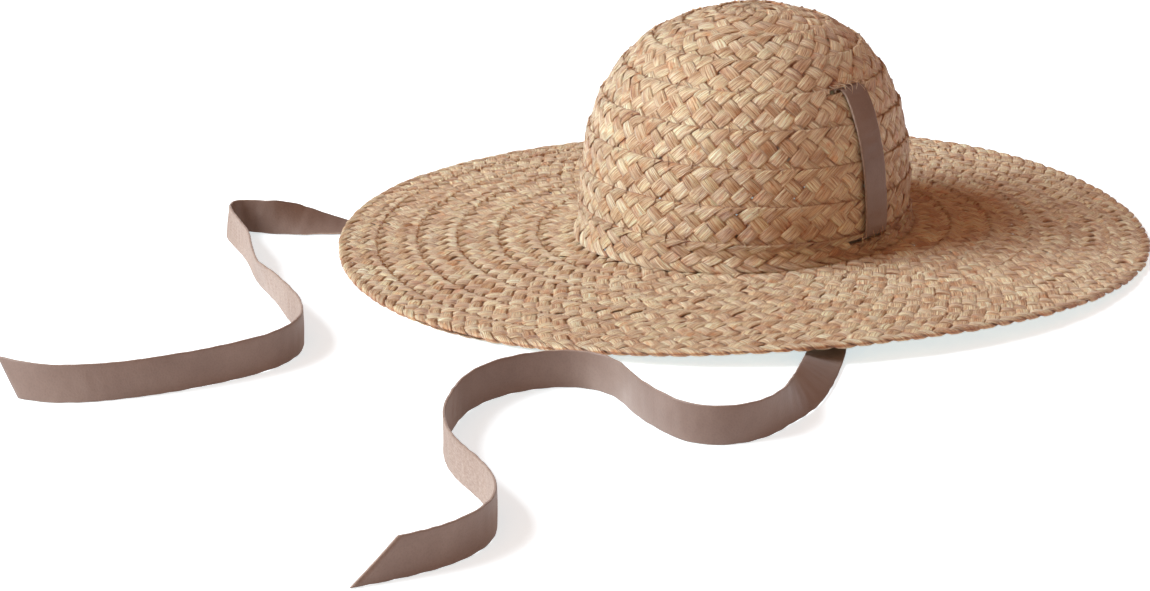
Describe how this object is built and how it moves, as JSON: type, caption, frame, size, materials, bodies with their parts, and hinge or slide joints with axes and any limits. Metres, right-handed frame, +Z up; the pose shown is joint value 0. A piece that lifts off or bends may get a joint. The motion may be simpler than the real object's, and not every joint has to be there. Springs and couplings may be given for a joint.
{
  "type": "straw sun hat",
  "caption": "Wide-brimmed straw sun hat of braid sewn in rounds, with a domed crown, a sweatband and a leather tie threaded through slits at each side.",
  "frame": {"origin": "on the floor under the middle of the brim's outline", "axes": "+Z up through the crown; the hat's front faces -Y; the wearer's left is +X and the ties' slits are at +X and -X"},
  "size_m": [0.4489, 0.7435, 0.1365],
  "materials": {
    "straw_braid": "natural raffia plait, matt with a slight fibre sheen",
    "raffia_thread": "matt raffia strand",
    "tie_leather": "taupe grain on one face, paler pinkish suede on the other",
    "sweatband_cotton": "plain woven cotton tape",
    "cotton_thread": "matt thread"
  },
  "bodies": {
    "root": {"crown_tip": "straw_braid", "crown_round_1": "straw_braid", "crown_round_2": "straw_braid", "crown_round_3": "straw_braid", "crown_round_4": "straw_braid", "crown_round_5": "straw_braid", "crown_round_6": "straw_braid", "crown_round_7": "straw_braid", "crown_round_8": "straw_braid", "brim_round_1": "straw_braid", "brim_round_2": "straw_braid", "brim_round_3": "straw_braid", "brim_round_4": "straw_braid", "brim_round_5": "straw_braid", "brim_round_6": "straw_braid", "seam_thread": "raffia_thread", "sweatband": "sweatband_cotton", "sweatband_stitching": "cotton_thread", "tie_anchor_stitches": "cotton_thread", "tie_right_held": "tie_leather", "tie_left_held": "tie_leather", "tie_right_tail": "tie_leather", "tie_left_tail": "tie_leather"}
  },
  "joints": []
}
